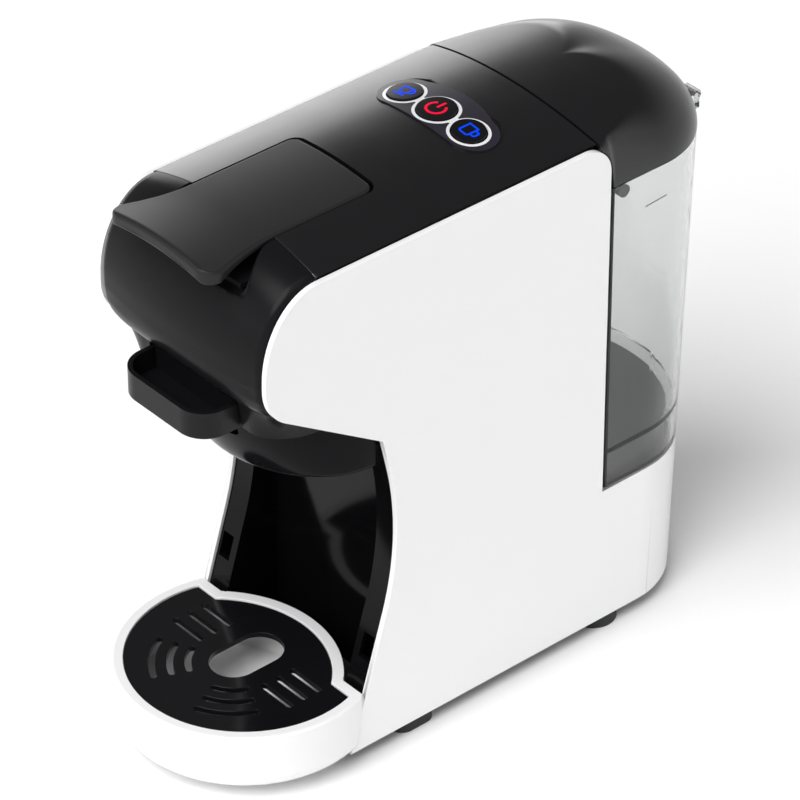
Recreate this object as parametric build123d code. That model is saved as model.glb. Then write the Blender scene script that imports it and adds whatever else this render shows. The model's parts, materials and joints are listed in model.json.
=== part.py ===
from build123d import *
import math
import os

# Pod coffee machine, in millimetres.  +Z is up, the drip tray is at -Y, the water tank at +Y,
# and the origin is on the table under the middle of the overall box.

# ---- driving dimensions ----
overall_length = 295.4   # drip tray front to tank hinge lugs
body_width = 110.0       # over the two side shells
top_z = 259.0            # top edge of the side shells
crown_rise = 10.0        # how far the arched top stands above the shell edges
foot_height = 7.0
wall = 2.4               # shells and covers
gap = 0.3                # between fixed covers
slide_gap = 0.5          # between pieces that move past each other

# ---- places that follow from them ----
half = body_width / 2
front = -overall_length / 2
rear = overall_length / 2
inner_half = half - wall
fit_half = inner_half - gap
crown_z = top_z + crown_rise
arch_side_step = 1.21    # the arch's side edges stand this far above the shells
arch_fall = crown_rise - arch_side_step
arch_radius = (fit_half ** 2 + arch_fall ** 2) / (2 * arch_fall)
arch_centre_z = crown_z - arch_radius

# ---- drip tray ----
tray_overhang = 3.5      # how far the tray's circle stands out beyond the body's sides
tray_radius = half + tray_overhang
tray_y = front + tray_radius
tray_top_z = 36.3
tray_bottom_z = 6.5
rim_width = 5.0
grid_thickness = 2.5
tray_wall = 2.2
hook_z = 20.0
hook_height = 8.0
hook_x = half - 7.5
hook_width = 5.0

# ---- side view of the shells (Y, Z) ----
brow_depth = 28.5
brow_height = 38.0
nose_radius = 22.0
underside_angle = 33.0
head_front_y = front + 27.5
nose_z = top_z - 42.0
column_y = front + 2 * tray_radius - 20.0
column_low_z = 72.0
column_low_y = column_y - 6.4
foot_y = column_y - 26.0
throat_y = column_y - 3.9
corner_y = column_y - 7.5
tank_front_y = rear - 79.4
rear_corner = 14.0
ledge_z = 78.0

# ---- plan of the rounded rear ----
rear_corner_radius = 44.0
rear_radius = 85.0
lug_overhang = 2.8
rear_wall_y = rear - lug_overhang
rear_lean = 8.5          # how much further back the body reaches at its top than at its foot
lean_height = 238.0

# ---- seams of the top ----
seam_y = head_front_y + brow_depth
lid_seam_y = tank_front_y - 6.0
lid_seam_bow = 3.5

# ---- control panel ----
panel_y = lid_seam_y - 43.5
button_pitch = 20.3
side_button_radius = 7.6
power_button_radius = 8.75
button_travel = 1.0
label_half = 33.0
label_front = panel_y - 11.0
label_rear = panel_y + 12.7
label_bulge = 4.0
label_thickness = 0.6
bezel_width = 1.4

# ---- lever ----
lever_half = 26.0
lever_lip_half = 33.0
lever_thickness = 5.0
lever_rear_y = seam_y + 54.5
lever_front_y = head_front_y - 11.5
pivot_y = lever_rear_y - 6.3
pivot_z = crown_z - 7.5
hub_radius = 4.8
lever_rear_gap = 4.2
lever_pin_radius = 1.5
pin_gap = 0.06
lever_side_gap = 0.5
crank_length = 9.0
crank_angle = 40.0
crank_pin_y = pivot_y - crank_length * math.cos(math.radians(crank_angle))
crank_pin_z = pivot_z - crank_length * math.sin(math.radians(crank_angle))
crank_pin_radius = 1.6
cheek_x = 13.0
cheek_thickness = 4.0
link_x = 17.6
link_thickness = 3.0
link_length = 27.0
well_floor_z = crown_z - 17.5

# ---- pod holder and brew unit ----
slot_top_z = top_z - 59.0
holder_top_z = slot_top_z - 4.5
handle_depth = 12.5
handle_half = 28.0
handle_front_y = head_front_y - 13.0
cup_y = tray_y + 0.5
pod_radius = 15.5
cup_radius = pod_radius + 3.5
cup_depth = 24.5
holder_rear_y = cup_y + 26.0
cup_floor = 2.0
brew_radius = pod_radius + 4.5
brew_height = 18.0
carriage_z = crank_pin_z - link_length
carriage_thickness = 6.0
brew_travel = 2 * crank_length * math.sin(math.radians(crank_angle))
post_x = 27.0
post_radius = 3.0

# ---- nozzle skirt under the head ----
skirt_bottom_z = top_z - 109.0
skirt_half = 50.0
skirt_depth = 40.5
skirt_y = column_y - 7.5
skirt_flare = 15.0
skirt_top_z = holder_top_z - handle_depth - gap
slot_half = handle_half + 4.0

# ---- column and the rear of the tray in it ----
cheek_inset = 1.3
recess_half = half - 14.5
tray_rear_radius = tray_radius - 0.6
tray_rear_y = column_y - 1.1
tray_rear_centre = tray_rear_y - tray_rear_radius
recess_back_y = column_y + 12.5
column_top_z = top_z - 98.0

# ---- tank ----
tank_wall = 2.2
tank_gap = 1.0
tank_top_z = top_z - 23.5
tank_bottom_z = ledge_z + 1.5
tank_floor_z = ledge_z + 21.0
lid_hinge_z = tank_top_z + 2.0
lug_x = 19.0
lug_length = 7.0
lid_pin_radius = 1.1
valve_radius = 8.0
valve_y = tank_front_y + 36.0
seat_height = 15.0
wall_panel_gap = 0.8

# ---- works inside the body ----
base_thickness = 3.0
screw_radius = 1.5
boss_radius = 4.0
boss_top_z = foot_height + 18.0
hose_radius = 3.0
hose_z = foot_height + base_thickness + 27
pump_length = 34.0
pump_y = recess_back_y + wall + 30
block_port_x = 20.0
block_port_y = recess_back_y + 27
block_low_z = top_z - 151
block_stub = 10.0
board_x = 8.0 - inner_half
board_y = recess_back_y + 18
gland_z = foot_height + 14
gland_radius = 5.0


def block(x0, x1, y0, y1, z0, z1):
    """A box between two corners."""
    return Pos((x0 + x1) / 2, (y0 + y1) / 2, (z0 + z1) / 2) * Box(x1 - x0, y1 - y0, z1 - z0)


def upright(x, y, z0, z1, radius):
    """A vertical cylinder from z0 to z1."""
    return Pos(x, y, (z0 + z1) / 2) * Cylinder(radius, z1 - z0)


def crossbar(x0, x1, y, z, radius):
    """A cylinder along X from x0 to x1."""
    return Pos((x0 + x1) / 2, y, z) * Rot(0, 90, 0) * Cylinder(radius, x1 - x0)


def across(face, x0, x1):
    """Extrudes a (Y, Z) sketch along X from x0 to x1."""
    return Pos(x0, 0, 0) * extrude(Plane.YZ * face, x1 - x0)


def plan_face(offset, z, y0):
    """Plan of the body with its rounded rear, moved in by offset, at height z."""
    width = half - offset
    lean = rear_lean * (z - top_z + 14) / lean_height
    back = rear_wall_y - offset + lean
    big = rear_radius - offset
    small = rear_corner_radius - offset
    centre_y = back - big + math.sqrt((big - small) ** 2 - (width - small) ** 2)
    centre_x = width - small
    reach = big / (big - small)
    meet_x = centre_x * reach
    meet_y = back - big + (centre_y - back + big) * reach
    tilt = math.atan2(meet_y - centre_y, meet_x - centre_x) / 2
    mid_x = centre_x + small * math.cos(tilt)
    mid_y = centre_y + small * math.sin(tilt)
    edges = [
        Line((-width, y0), (width, y0)),
        Line((width, y0), (width, centre_y)),
        ThreePointArc((width, centre_y), (mid_x, mid_y), (meet_x, meet_y)),
        ThreePointArc((meet_x, meet_y), (0, back), (-meet_x, meet_y)),
        ThreePointArc((-meet_x, meet_y), (-mid_x, mid_y), (-width, centre_y)),
        Line((-width, centre_y), (-width, y0)),
    ]
    return Pos(0, 0, z) * make_face(edges)


def plan_solid(offset, z0, z1, y0):
    """The leaning body between two heights, moved in by offset."""
    return loft([plan_face(offset, z0, y0), plan_face(offset, z1, y0)])


def side_outline(extra=0.0):
    """Side view of the shells as a (Y, Z) sketch, with its foot lowered by extra."""
    slope = math.radians(underside_angle)
    nose_y = head_front_y + nose_radius
    chin = (nose_y - nose_radius * math.sin(slope), nose_z - nose_radius * math.cos(slope))
    turn = slope / 2 + 0.5
    nose_mid = (nose_y - nose_radius * math.cos(turn), nose_z - nose_radius * math.sin(turn))
    corner = (corner_y, chin[1] - (corner_y - chin[0]) * math.tan(slope))
    throat = (throat_y, corner[1] - 15.7)
    lower = (column_low_y, column_low_z)
    middle = (column_y, (throat[1] + column_low_z) / 2 + 2.5)
    bend = rear_corner * math.sqrt(0.5)
    back = rear + 20
    foot = (foot_y - extra * (column_low_y - foot_y) / (column_low_z - foot_height), foot_height - extra)
    edges = [
        Line(foot, lower),
        ThreePointArc(lower, middle, throat),
        Line(throat, corner),
        Line(corner, chin),
        ThreePointArc(chin, nose_mid, (head_front_y, nose_z)),
        Line((head_front_y, nose_z), (head_front_y, top_z - brow_height)),
        EllipticalCenterArc((seam_y, top_z - brow_height), brow_depth, brow_height, 90, arc_size=90),
        Line((seam_y, top_z), (tank_front_y - rear_corner, top_z)),
        ThreePointArc(
            (tank_front_y - rear_corner, top_z),
            (tank_front_y - rear_corner + bend, top_z - rear_corner + bend),
            (tank_front_y, top_z - rear_corner),
        ),
        Line((tank_front_y, top_z - rear_corner), (tank_front_y, ledge_z)),
        Line((tank_front_y, ledge_z), (back, ledge_z)),
        Line((back, ledge_z), (back, foot_height - extra)),
        Line((back, foot_height - extra), foot),
    ]
    return make_face(edges)


def arch(y0, y1, drop, thickness):
    """Part of the arched top between two Y, its outer face lowered by drop."""
    outer = Pos(0, (y0 + y1) / 2, arch_centre_z) * Rot(90, 0, 0) * Cylinder(arch_radius - drop, y1 - y0)
    inner_radius = arch_radius - drop - thickness
    inner = Pos(0, (y0 + y1) / 2, arch_centre_z) * Rot(90, 0, 0) * Cylinder(inner_radius, y1 - y0 + 2)
    return (outer - inner) & block(-fit_half, fit_half, y0, y1, top_z - 20, crown_z + 1)


screw_places = [(half - 9.5, recess_back_y + 10), (half - 9.5, tank_front_y - 20)]
foot_x = half - 8.5


def right_shell():
    """White side shell: one flat side and half of the rounded rear under the tank."""
    shell = across(side_outline(), 0, half) & plan_solid(0, 0, top_z + 20, front)
    shell -= plan_solid(wall, -1, top_z + 21, front - 1)
    for x, y in screw_places:
        base = foot_height + base_thickness
        boss = upright(x, y, base, boss_top_z, boss_radius)
        boss += block(x, inner_half + 0.5, y - 1.2, y + 1.2, base, boss_top_z)
        shell += boss - upright(x, y, base, boss_top_z - 3, screw_radius)
    return shell


def left_shell():
    """Mirror of the right shell."""
    return mirror(right_shell(), about=Plane.YZ)


def base_plate():
    """Black floor between the shells, drilled for the feet and the shell screws."""
    plate = extrude(plan_face(wall + gap, foot_height, foot_y + 1), base_thickness)
    for x, y in screw_places:
        for side in (-1, 1):
            above = foot_height + base_thickness + 1
            plate -= upright(side * x, y, foot_height - 1, above, screw_radius + 0.2)
            plate -= upright(side * x, y, foot_height - 1, foot_height + 1.2, 3.0)
    return plate


def base_screws():
    """Four shell screws, up through the floor."""
    screws = []
    for x, y in screw_places:
        for side in (-1, 1):
            shank = upright(side * x, y, foot_height + 1.2, boss_top_z - 4, screw_radius)
            head = upright(side * x, y, foot_height + 0.2, foot_height + 1.2, 2.8)
            screws.append(shank + head)
    return Compound(children=screws)


def front_foot(side):
    """Long rubber foot under the front of the body."""
    pad = extrude(SlotOverall(22, 13, rotation=90), foot_height)
    return Pos(side * foot_x, foot_y + 40.5, 0) * pad


def rear_foot(side):
    """Round rubber foot under the rear of the body."""
    return upright(side * (half - 12), tank_front_y + 7, 0, foot_height, 11)


def column_panel():
    """Black column face: two cheeks with tray slots beside a deep recess for the cup."""
    low = foot_height + base_thickness
    high = column_top_z
    rear_y = recess_back_y + wall
    face = Pos(cheek_inset, 0, 0) * side_outline()
    panel = across(face, -fit_half, fit_half) & block(-half, half, front, rear_y, low, high)
    inner = Pos(cheek_inset + wall, 0, 0) * side_outline(5)
    hollow = across(inner, -fit_half + wall, fit_half - wall)
    hollow &= block(-half, half, front, rear_y - wall, low - 1, high + 1)
    back = block(-recess_half - wall, recess_half + wall, recess_back_y, rear_y, low, high)
    for side in (-1, 1):
        x0, x1 = sorted((side * recess_half, side * (recess_half + wall)))
        back += block(x0, x1, front, rear_y, low, high) & panel
    panel -= hollow
    panel -= block(-recess_half, recess_half, front, recess_back_y, low - 1, high + 1)
    panel += back
    for z in (hook_z - 2, hook_z + 28):
        for side in (-1, 1):
            x0, x1 = sorted((side * (hook_x - 3.4), side * (hook_x + 3.4)))
            panel -= block(x0, x1, front, column_y + 2, z, z + hook_height + 3.5)
    return panel


def lever_opening(y0, y1, margin):
    """Space that the lever takes in the top, down through the covers."""
    return block(-lever_half - margin, lever_half + margin, y0, y1, well_floor_z, crown_z + 5)


def top_panel():
    """Arched black top, open for the lever and the three buttons."""
    panel = arch(seam_y + gap, lid_seam_y + 2, 0, wall)
    bow_radius = (half ** 2 + lid_seam_bow ** 2) / (2 * lid_seam_bow)
    rear_edge = upright(0, lid_seam_y - gap - lid_seam_bow + bow_radius, 0, crown_z + 9, bow_radius)
    panel -= rear_edge
    panel -= lever_opening(seam_y - 1, lever_rear_y + lever_rear_gap, lever_side_gap)
    for x, radius in buttons():
        panel -= upright(x, panel_y, top_z - 9, crown_z + 9, radius + slide_gap)
    return panel


def buttons():
    """Centre and radius of each button across the panel."""
    return [
        (-button_pitch, side_button_radius),
        (0, power_button_radius),
        (button_pitch, side_button_radius),
    ]


def label_sketch():
    """Outline of the oval control label, fuller at its rear edge."""
    mid_y = (label_front + label_rear) / 2
    radius = (label_rear - label_front) / 2
    end = label_half - radius
    edges = [
        Line((-end, label_front), (end, label_front)),
        ThreePointArc((end, label_front), (label_half, mid_y), (end, label_rear)),
        ThreePointArc((end, label_rear), (0, label_rear + label_bulge), (-end, label_rear)),
        ThreePointArc((-end, label_rear), (-label_half, mid_y), (-end, label_front)),
    ]
    return make_face(edges)


def ring_column(widen):
    """Three joined discs round the buttons, as a tall solid."""
    solid = block(-button_pitch, button_pitch, panel_y - 2.6, panel_y + 2.6, top_z - 9, crown_z + 9)
    for x, radius in buttons():
        solid += upright(x, panel_y, top_z - 9, crown_z + 9, radius + slide_gap + widen)
    return solid


def label_band(thickness):
    """Thin arched layer just above the top panel."""
    return arch(label_front - 9, label_rear + 9, -thickness, thickness)


def control_label():
    """Dark film round the button rings."""
    film = Pos(0, 0, top_z - 9) * extrude(label_sketch(), 30)
    return (film & label_band(label_thickness)) - ring_column(bezel_width)


def button_bezel():
    """Pale rings round the buttons, joined by two necks."""
    bezel = ring_column(bezel_width) & label_band(label_thickness)
    for x, radius in buttons():
        bezel -= upright(x, panel_y, top_z - 9, crown_z + 9, radius + slide_gap)
    return bezel


switch_top_z = crown_z - 8.4


def button(index):
    """Button cap with its plunger, shaped to the arch on top."""
    x, radius = buttons()[index]
    cap = upright(x, panel_y, crown_z - 5, crown_z + 9, radius)
    cap_top = arch_radius + label_thickness + button_travel
    dome = Pos(0, panel_y, arch_centre_z) * Rot(90, 0, 0) * Cylinder(cap_top, 60)
    stem = upright(x, panel_y, switch_top_z + button_travel + gap, crown_z - 5, 2.0)
    return (cap & dome) + stem


def button_board():
    """Small circuit board with a switch under each button."""
    z = switch_top_z - 3.5
    board = block(-label_half, label_half, label_front, label_rear, z - 1.6, z)
    for x, radius in buttons():
        board += block(x - 3, x + 3, panel_y - 3, panel_y + 3, z, switch_top_z)
    return board


def button_board_posts():
    """Four printed-board posts that hang from the top panel."""
    posts = []
    z = switch_top_z - 3.5
    for x in (-label_half + 4, label_half - 4):
        for y in (label_front + 2.5, label_rear - 2.5):
            posts.append(upright(x, y, z, crown_z - wall - 3.8, 1.8))
    return Compound(children=posts)


def head_profile(inset):
    """Side view of the head cover at its middle, moved in by inset (Y, Z)."""
    slope = math.radians(underside_angle)
    bulge = 4.5
    top = crown_z - inset
    nose = head_front_y - bulge + inset
    chin_y = head_front_y + 6.0 + inset
    edges = [
        Line((seam_y, slot_top_z), (seam_y, top)),
        EllipticalCenterArc((seam_y, nose_z + 6), seam_y - nose, top - nose_z - 6, 90, arc_size=90),
        Line((nose, nose_z + 6), (nose, nose_z)),
        ThreePointArc((nose, nose_z), (nose + 1.6, nose_z - 9), (chin_y, slot_top_z)),
        Line((chin_y, slot_top_z), (chin_y + 2.5, skirt_top_z + gap)),
        Line((chin_y + 2.5, skirt_top_z + gap), (seam_y, skirt_top_z + gap)),
        Line((seam_y, skirt_top_z + gap), (seam_y, slot_top_z)),
    ]
    return make_face(edges)


def head_solid(inset):
    """Solid head front: arched in both directions, between the shells."""
    side = across(head_profile(inset), -fit_half + inset, fit_half - inset)
    barrel = Pos(0, seam_y - 30, arch_centre_z) * Rot(90, 0, 0) * Cylinder(arch_radius - inset, 90)
    bow = 305.0
    face_bow = upright(0, head_front_y - 4.5 + bow + inset, 0, crown_z + 20, bow)
    return side & barrel & face_bow


def head_cover():
    """Glossy front cover of the head, open for the lever and the pod holder."""
    cover = head_solid(0) - head_solid(wall)
    cover -= block(-half, half, seam_y - 0.01, seam_y + 40, 0, crown_z + 20)
    cover -= block(-fit_half + wall, fit_half - wall, seam_y - wall - 1, seam_y + 1, 0, crown_z - 8)
    cover -= block(-half, half, head_front_y + 11.5, seam_y + 1, 0, slot_top_z)
    cover -= block(-slot_half, slot_half, front, seam_y + 1, 0, slot_top_z)
    scoop = crossbar(-lever_half - 3, lever_half + 3, head_front_y + 8, crown_z + 1, 17.5)
    cover -= scoop
    cover -= lever_opening(seam_y - 12, seam_y + 1, lever_side_gap)
    return cover


def lever_well():
    """Pan under the lever: the finger hollow, slotted for the crank cheeks and links."""
    x = lever_half + lever_side_gap + wall
    y0 = head_front_y + 9
    y1 = lever_rear_y + lever_rear_gap + wall
    high = crown_z - wall - 3.2
    pan = block(-x, x, y0, y1, well_floor_z, high)
    pan -= block(-x + wall, x - wall, y0 - 1, y1 - wall, well_floor_z + wall, high + 1)
    pan -= block(-x - 1, x + 1, y0 - 1, seam_y + gap, well_floor_z + wall, high + 1)
    for side in (-1, 1):
        x0, x1 = sorted((side * (cheek_x - 1), side * (link_x + link_thickness + 1)))
        pan -= block(x0, x1, crank_pin_y - 8, pivot_y + 8, well_floor_z - 1, well_floor_z + wall + 1)
    pan -= crossbar(-half, half, pivot_y, pivot_z, lever_pin_radius + pin_gap)
    return pan


def lever_plan():
    """Plan of the lever: straight at the rear, flared to a broad lip in front."""
    corner = 5.0
    cut = corner * (1 - math.sqrt(0.5))
    flare_y = seam_y - 3
    lip_y = lever_front_y + 11
    tip = lever_front_y
    lip_mid = lever_lip_half - 2.5
    lip_end = lever_lip_half - 11
    edges = [
        Line((-lever_half + corner, lever_rear_y), (lever_half - corner, lever_rear_y)),
        ThreePointArc(
            (lever_half - corner, lever_rear_y),
            (lever_half - cut, lever_rear_y - cut),
            (lever_half, lever_rear_y - corner),
        ),
        Line((lever_half, lever_rear_y - corner), (lever_half, flare_y)),
        ThreePointArc((lever_half, flare_y), (lever_half + 1.6, flare_y - 11), (lever_lip_half, lip_y)),
        ThreePointArc((lever_lip_half, lip_y), (lip_mid, tip + 3), (lip_end, tip)),
        Line((lip_end, tip), (-lip_end, tip)),
        ThreePointArc((-lip_end, tip), (-lip_mid, tip + 3), (-lever_lip_half, lip_y)),
        ThreePointArc((-lever_lip_half, lip_y), (-lever_half - 1.6, flare_y - 11), (-lever_half, flare_y)),
        Line((-lever_half, flare_y), (-lever_half, lever_rear_y - corner)),
        ThreePointArc(
            (-lever_half, lever_rear_y - corner),
            (-lever_half + cut, lever_rear_y - cut),
            (-lever_half + corner, lever_rear_y),
        ),
    ]
    return make_face(edges)


def lever_side():
    """Side view of the lever plate (Y, Z): level, then curving up into the lip."""
    top = crown_z
    low = top - lever_thickness
    lift = 3.0
    rise_y = seam_y - 8
    tip = lever_front_y - 1
    edges = [
        Line((lever_rear_y + 1, low), (lever_rear_y + 1, top)),
        Line((lever_rear_y + 1, top), (rise_y, top)),
        ThreePointArc((rise_y, top), (rise_y - 18, top + 0.9), (tip, top + lift)),
        Line((tip, top + lift), (tip, low + lift - 2)),
        ThreePointArc((tip, low + lift - 2), (rise_y - 18, low + 0.3), (rise_y, low)),
        Line((rise_y, low), (lever_rear_y + 1, low)),
    ]
    return make_face(edges)


def lever():
    """Satin black lever with its hub and the two crank cheeks under it."""
    plate = extrude(lever_plan(), 60)
    plate = Pos(0, 0, crown_z - 40) * plate & across(lever_side(), -half, half)
    sag = Pos(0, seam_y, arch_centre_z + 3) * Rot(90, 0, 0) * Cylinder(arch_radius, 200)
    plate &= sag
    hub = crossbar(-lever_half + 1, lever_half - 1, pivot_y, pivot_z, hub_radius)
    arm = plate + hub
    for side in (-1, 1):
        x0, x1 = sorted((side * cheek_x, side * (cheek_x + cheek_thickness)))
        cheek = crossbar(x0, x1, crank_pin_y, crank_pin_z, 4.2)
        cheek += across(hull_pair(pivot_y, pivot_z, crank_pin_y, crank_pin_z, 4.2), x0, x1)
        arm += cheek
    for side in (-1, 1):
        x0, x1 = sorted((side * (link_x - 0.4), side * (link_x + link_thickness + 0.4)))
        arm -= crossbar(x0, x1, crank_pin_y, crank_pin_z, 5.2)
        arm -= crossbar(x0, x1, pivot_y, pivot_z, hub_radius + 0.4)
    arm -= crossbar(-half, half, pivot_y, pivot_z, lever_pin_radius + pin_gap)
    arm -= crossbar(-half, half, crank_pin_y, crank_pin_z, crank_pin_radius)
    return arm


def hull_pair(y0, z0, y1, z1, radius):
    """A bar with round ends between two centres, as a (Y, Z) sketch."""
    length = math.hypot(y1 - y0, z1 - z0)
    angle = math.degrees(math.atan2(z1 - z0, y1 - y0))
    return Pos((y0 + y1) / 2, (z0 + z1) / 2) * SlotOverall(length + 2 * radius, 2 * radius, rotation=angle)


def lever_pin():
    """Steel pin that the lever turns on."""
    return crossbar(-lever_half - 5.2, lever_half + 5.2, pivot_y, pivot_z, lever_pin_radius)


def crank_pins():
    """Two short pins that carry the links on the crank cheeks."""
    pins = []
    for side in (-1, 1):
        x0, x1 = sorted((side * cheek_x, side * (link_x + link_thickness)))
        pins.append(crossbar(x0, x1, crank_pin_y, crank_pin_z, crank_pin_radius))
    return Compound(children=pins)


def link(side):
    """Lifting link: hangs from its crank pin and carries the carriage pin in a slot."""
    x0, x1 = sorted((side * link_x, side * (link_x + link_thickness)))
    slot_y = crank_pin_y + 1.1
    bar = across(hull_pair(crank_pin_y, crank_pin_z, crank_pin_y, carriage_z, 3.8), x0, x1)
    bar += across(hull_pair(crank_pin_y - 1, carriage_z, crank_pin_y + 3.2, carriage_z, 3.8), x0, x1)
    bar -= crossbar(x0 - 1, x1 + 1, crank_pin_y, crank_pin_z, crank_pin_radius + pin_gap)
    eye = hull_pair(slot_y - 1.4, carriage_z, slot_y + 1.4, carriage_z, crank_pin_radius + 0.35)
    return bar - across(eye, x0 - 1, x1 + 1)


def carriage_pins():
    """Two pins on the carriage that sit in the link slots."""
    pins = []
    for side in (-1, 1):
        x0, x1 = sorted((side * (link_x - 4), side * (link_x + link_thickness)))
        pins.append(crossbar(x0, x1, crank_pin_y, carriage_z, crank_pin_radius))
    return Compound(children=pins)


def brew_carriage():
    """Plate that rides on two posts and joins the links to the brew head."""
    y0 = cup_y - brew_radius
    low = carriage_z - carriage_thickness / 2
    high = carriage_z + carriage_thickness / 2
    plate = block(-post_x - 6, post_x + 6, y0 + 6, cup_y + 10, low, high)
    for side in (-1, 1):
        x0, x1 = sorted((side * (link_x - 4), side * (link_x - 0.5)))
        plate += block(x0, x1, cup_y, crank_pin_y + 5, low, high)
        plate -= upright(side * post_x, cup_y, low - 1, high + 1, post_radius + 0.05)
    plate -= crossbar(-half, half, crank_pin_y, carriage_z, crank_pin_radius)
    return plate


def brew_head():
    """Metal brew head under the carriage, hollow for its gasket and needle plate."""
    low = holder_top_z + gap
    head = upright(0, cup_y, low, carriage_z - carriage_thickness / 2, 9)
    head += upright(0, cup_y, low, low + brew_height, brew_radius)
    head -= upright(0, cup_y, low - 1, low + 6, pod_radius + 2)
    return head


def brew_gasket():
    """Rubber ring that seals on the pod rim."""
    low = holder_top_z + gap
    ring = upright(0, cup_y, low + 1, low + 6, pod_radius + 2)
    return ring - upright(0, cup_y, low, low + 7, pod_radius - 1.5)


def needle_plate():
    """Steel plate with five short needles that pierce the pod lid."""
    low = holder_top_z + gap
    plate = upright(0, cup_y, low + 4.5, low + 6, pod_radius - 1.5)
    for k in range(5):
        angle = math.radians(72 * k)
        spike = Pos(9 * math.cos(angle), cup_y + 9 * math.sin(angle), low + 2.5)
        plate += spike * Rot(180, 0, 0) * Cone(1.4, 0.2, 4)
    return plate


def brew_frame():
    """Steel bracket in the head: two cheeks with the posts and the lever pin between them."""
    low = holder_top_z + 6
    plate_x = lever_half + 0.5 + wall + 0.3
    cheek_top_z = arch_centre_z + math.sqrt((arch_radius - wall) ** 2 - (plate_x + 2) ** 2) - 0.1
    y0 = cup_y - 12
    y1 = pivot_y + 9
    frame = block(-plate_x - 9, plate_x + 9, y0, cup_y + 26, low, low + 2.5)
    frame -= upright(0, cup_y, low - 1, low + 4, brew_radius + slide_gap)
    for side in (-1, 1):
        x0, x1 = sorted((side * (plate_x + 5), side * (plate_x + 7.5)))
        frame += block(x0, x1, y0, y1, low, pivot_z - 12)
        x2, x3 = sorted((side * plate_x, side * (plate_x + 2)))
        frame += block(x2, x3, pivot_y - 7, pivot_y + 7, pivot_z - 14, cheek_top_z)
        x4, x5 = sorted((side * plate_x, side * (plate_x + 7.5)))
        frame += block(x4, x5, pivot_y - 7, pivot_y + 7, pivot_z - 14, pivot_z - 12)
    frame -= crossbar(-half, half, pivot_y, pivot_z, lever_pin_radius)
    return frame


def guide_post(side):
    """Steel post that guides the carriage."""
    low = holder_top_z + 8.5
    top = carriage_z + brew_travel + carriage_thickness
    return upright(side * post_x, cup_y, low, top, post_radius)


def pod_rail(side):
    """Rail that the pod holder slides on."""
    x = handle_half - 0.5
    y1 = skirt_y - wall - 0.1
    high = holder_top_z + 6
    low = holder_top_z - handle_depth - 1
    x0, x1 = sorted((side * (x + slide_gap), side * (x + slide_gap + 4)))
    rail = block(x0, x1, cup_y - 3, y1, low, high)
    x2, x3 = sorted((side * (x - 4), side * (x + slide_gap + 4)))
    return rail + block(x2, x3, cup_y - 3, y1, low - 2.0, low + 0.5)


def holder_plan(inset):
    """Plan of the pod holder: wide rounded handle and straight sides."""
    width = handle_half - inset
    tip = handle_front_y + inset
    radius = 13 - inset
    arc = radius * (1 - math.sqrt(0.5))
    back = head_front_y + 9 - inset
    edges = [
        Line((-width, back), (-width, tip + radius)),
        ThreePointArc((-width, tip + radius), (-width + arc, tip + arc), (-width + radius, tip)),
        Line((-width + radius, tip), (width - radius, tip)),
        ThreePointArc((width - radius, tip), (width - arc, tip + arc), (width, tip + radius)),
        Line((width, tip + radius), (width, back)),
        Line((width, back), (-width, back)),
    ]
    return make_face(edges)


def pod_holder():
    """Drawer for the pod: a hollow scoop handle, a plate and a cup with its outlet."""
    low = holder_top_z - handle_depth
    handle = Pos(0, 0, low) * extrude(holder_plan(0), handle_depth)
    handle -= Pos(0, 0, low + 2) * extrude(holder_plan(2.2), handle_depth)
    width = handle_half - 0.5
    plate = block(-width, width, head_front_y + 8, holder_rear_y, low, holder_top_z)
    for side in (-1, 1):
        x0, x1 = sorted((side * (cup_radius + 0.5), side * (width - 2)))
        plate -= block(x0, x1, head_front_y + 10, holder_rear_y - 2, low + 2, holder_top_z + 1)
    cup = upright(0, cup_y, holder_top_z - cup_depth, holder_top_z, cup_radius)
    holder = handle + plate + cup
    holder -= upright(0, cup_y, holder_top_z - cup_depth + cup_floor, holder_top_z + 1, pod_radius)
    holder -= upright(0, cup_y, 0, holder_top_z, 4)
    return holder


def skirt_face(flare, inset, z):
    """Plan of the nozzle skirt at height z, deeper by flare and moved in by inset."""
    front_y = skirt_y - skirt_depth - flare + inset
    width = skirt_half + flare * 0.07 - inset
    back = skirt_y - inset
    edges = [
        Line((-width, back), (width, back)),
        EllipticalCenterArc((0, back), width, back - front_y, 180, arc_size=180),
    ]
    return Pos(0, 0, z) * make_face(edges)


skirt_floor_z = skirt_bottom_z + 8


def nozzle_skirt():
    """Glossy skirt that hangs under the head round the outlet, with a floor for the nozzle."""
    outer = loft([skirt_face(0, 0, skirt_bottom_z), skirt_face(skirt_flare, 0, skirt_top_z)])
    below = skirt_face(-0.5, wall, skirt_bottom_z - 1)
    above = skirt_face(skirt_flare + 0.5, wall, skirt_top_z + 1)
    inner = loft([below, above])
    skirt = outer - inner
    floor = outer & block(-half, half, front, skirt_y, skirt_floor_z, skirt_floor_z + wall)
    floor -= upright(0, cup_y, 0, top_z, 6)
    skirt += floor
    width = cup_radius + 1.5
    skirt -= block(-width, width, front, cup_y, holder_top_z - cup_depth - 0.8, top_z)
    limit = Pos(gap, -gap, 0) * side_outline()
    return skirt - (across(limit, fit_half, half) + across(limit, -half, -fit_half))


def outlet_nozzle():
    """Funnel under the pod cup that pours the coffee into the cup bay."""
    top = holder_top_z - cup_depth - 0.8
    seat = skirt_floor_z + wall
    funnel = upright(0, cup_y, seat, top, 11) - upright(0, cup_y, seat + 2, top + 1, 9)
    funnel += upright(0, cup_y, skirt_bottom_z + 2, seat + 2, 5.8)
    return funnel - upright(0, cup_y, 0, top, 3)


def soffit():
    """Plate that closes the underside of the head behind the skirt."""
    z = column_top_z
    return block(-fit_half, fit_half, skirt_y + gap, recess_back_y + wall, z, z + wall)


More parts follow.
